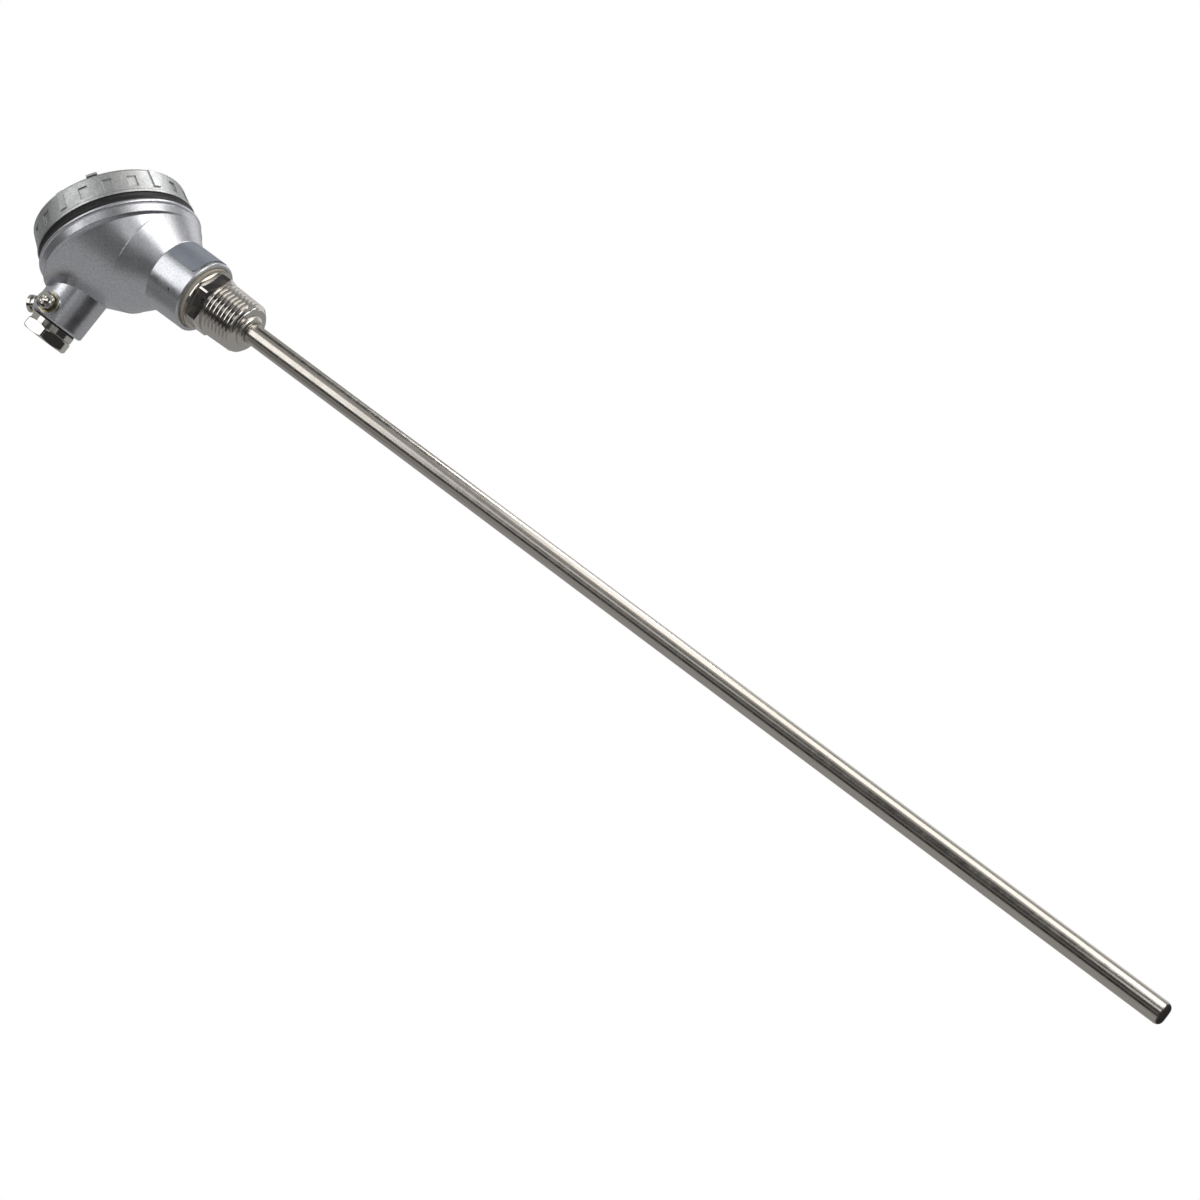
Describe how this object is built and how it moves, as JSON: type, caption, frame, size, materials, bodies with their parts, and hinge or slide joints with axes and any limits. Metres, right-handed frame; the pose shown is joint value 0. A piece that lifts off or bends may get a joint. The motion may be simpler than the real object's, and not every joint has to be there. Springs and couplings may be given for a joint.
{
  "type": "resistance thermometer probe with connection head",
  "caption": "Resistance thermometer probe: a long steel sheath with a hexagonal process fitting and a cast head with a slanted screw cap and a cable gland.",
  "frame": {"origin": "on the probe's axis, in the end face of the process thread, where the sheath leaves it", "axes": "+Z along the sheath towards the head, +X towards the cable entry, the cap leans to -X"},
  "size_m": [0.0776, 0.062, 0.4929],
  "materials": {
    "cast_aluminium": "satin, shot-blasted casting",
    "cap_aluminium": "matte casting",
    "stainless": "polished, drawn",
    "nickel_plate": "bright nickel plate",
    "black_rubber": "matte",
    "grey_rubber": "matte",
    "fibre": "matte sealing fibre",
    "label_film": "satin film",
    "yellow_zinc": "yellow passivated",
    "ceramic_white": "unglazed",
    "brass": "bare",
    "resin": "cast resin",
    "wire_insulation": "matte",
    "tinned_copper": "tinned"
  },
  "bodies": {
    "head": {"housing": "cast_aluminium", "neck_label": "label_film", "hex_nipple": "nickel_plate", "neck_washer": "fibre", "sheath": "stainless", "sheath_seal": "resin", "sensing_element": "ceramic_white", "insulator": "ceramic_white", "conductors": "tinned_copper", "lead_wires": "wire_insulation", "wire_tails": "tinned_copper", "terminal_block": "ceramic_white", "terminal_plates": "brass", "block_screws": "nickel_plate", "gland_seal": "black_rubber", "grommet": "grey_rubber", "earth_flat_washer": "yellow_zinc", "side_flat_washer": "nickel_plate"},
    "cap_gasket": {"cap_gasket": "black_rubber"},
    "cap": {"cap": "cap_aluminium"},
    "gland_washer": {"gland_washer": "nickel_plate"},
    "gland_screw": {"gland_screw": "nickel_plate"},
    "earth_spring_washer": {"earth_spring_washer": "yellow_zinc"},
    "earth_screw": {"earth_screw": "nickel_plate"},
    "side_spring_washer": {"side_spring_washer": "nickel_plate"},
    "side_screw": {"side_screw": "nickel_plate"},
    "terminal_washer_1": {"terminal_washer_1": "brass"},
    "terminal_screw_1": {"terminal_screw_1": "brass"},
    "terminal_washer_2": {"terminal_washer_2": "brass"},
    "terminal_screw_2": {"terminal_screw_2": "brass"},
    "terminal_washer_3": {"terminal_washer_3": "brass"},
    "terminal_screw_3": {"terminal_screw_3": "brass"},
    "terminal_washer_4": {"terminal_washer_4": "brass"},
    "terminal_screw_4": {"terminal_screw_4": "brass"}
  },
  "joints": [
    {"name": "cap_lift", "type": "slide", "parent": "head", "child": "cap_gasket", "axis": [-0.5, 0, 0.866], "range_m": [0, 0.00705]},
    {"name": "cap_turn", "type": "hinge", "parent": "cap_gasket", "child": "cap", "pos_m": [0.0033, 0, 0.0663], "axis": [-0.5, 0, 0.866], "range_deg": [0, 1260]},
    {"name": "gland_screw_lift", "type": "slide", "parent": "head", "child": "gland_washer", "axis": [1, 0, 0], "range_m": [0, 0.006]},
    {"name": "gland_screw_turn", "type": "hinge", "parent": "gland_washer", "child": "gland_screw", "pos_m": [0.0414, 0, 0.0675], "axis": [1, 0, 0], "range_deg": [0, 1440]},
    {"name": "earth_screw_lift", "type": "slide", "parent": "head", "child": "earth_spring_washer", "axis": [0, 1, 0], "range_m": [0, 0.0021]},
    {"name": "earth_screw_turn", "type": "hinge", "parent": "earth_spring_washer", "child": "earth_screw", "pos_m": [0.0366, 0.0117, 0.0675], "axis": [0, 1, 0], "range_deg": [0, 1080]},
    {"name": "side_screw_lift", "type": "slide", "parent": "head", "child": "side_spring_washer", "axis": [0.5, 0, 0.866], "range_m": [0, 0.0014]},
    {"name": "side_screw_turn", "type": "hinge", "parent": "side_spring_washer", "child": "side_screw", "pos_m": [0.0396, 0, 0.079], "axis": [0.5, 0, 0.866], "range_deg": [0, 720]},
    {"name": "terminal_screw_1_lift", "type": "slide", "parent": "head", "child": "terminal_washer_1", "axis": [0, 0, 1], "range_m": [0, 0.0015]},
    {"name": "terminal_screw_1_turn", "type": "hinge", "parent": "terminal_washer_1", "child": "terminal_screw_1", "pos_m": [0.00743, 0.00743, 0.0586], "axis": [0, 0, 1], "range_deg": [0, 1080]},
    {"name": "terminal_screw_2_lift", "type": "slide", "parent": "head", "child": "terminal_washer_2", "axis": [0, 0, 1], "range_m": [0, 0.0015]},
    {"name": "terminal_screw_2_turn", "type": "hinge", "parent": "terminal_washer_2", "child": "terminal_screw_2", "pos_m": [-0.00743, 0.00743, 0.0586], "axis": [0, 0, 1], "range_deg": [0, 1080]},
    {"name": "terminal_screw_3_lift", "type": "slide", "parent": "head", "child": "terminal_washer_3", "axis": [0, 0, 1], "range_m": [0, 0.0015]},
    {"name": "terminal_screw_3_turn", "type": "hinge", "parent": "terminal_washer_3", "child": "terminal_screw_3", "pos_m": [-0.00743, -0.00743, 0.0586], "axis": [0, 0, 1], "range_deg": [0, 1080]},
    {"name": "terminal_screw_4_lift", "type": "slide", "parent": "head", "child": "terminal_washer_4", "axis": [0, 0, 1], "range_m": [0, 0.0015]},
    {"name": "terminal_screw_4_turn", "type": "hinge", "parent": "terminal_washer_4", "child": "terminal_screw_4", "pos_m": [0.00743, -0.00743, 0.0586], "axis": [0, 0, 1], "range_deg": [0, 1080]}
  ],
  "couplings": [
    {"joint": "cap_lift", "follows": "cap_turn", "m_per_rad": 0.00031831}
  ]
}
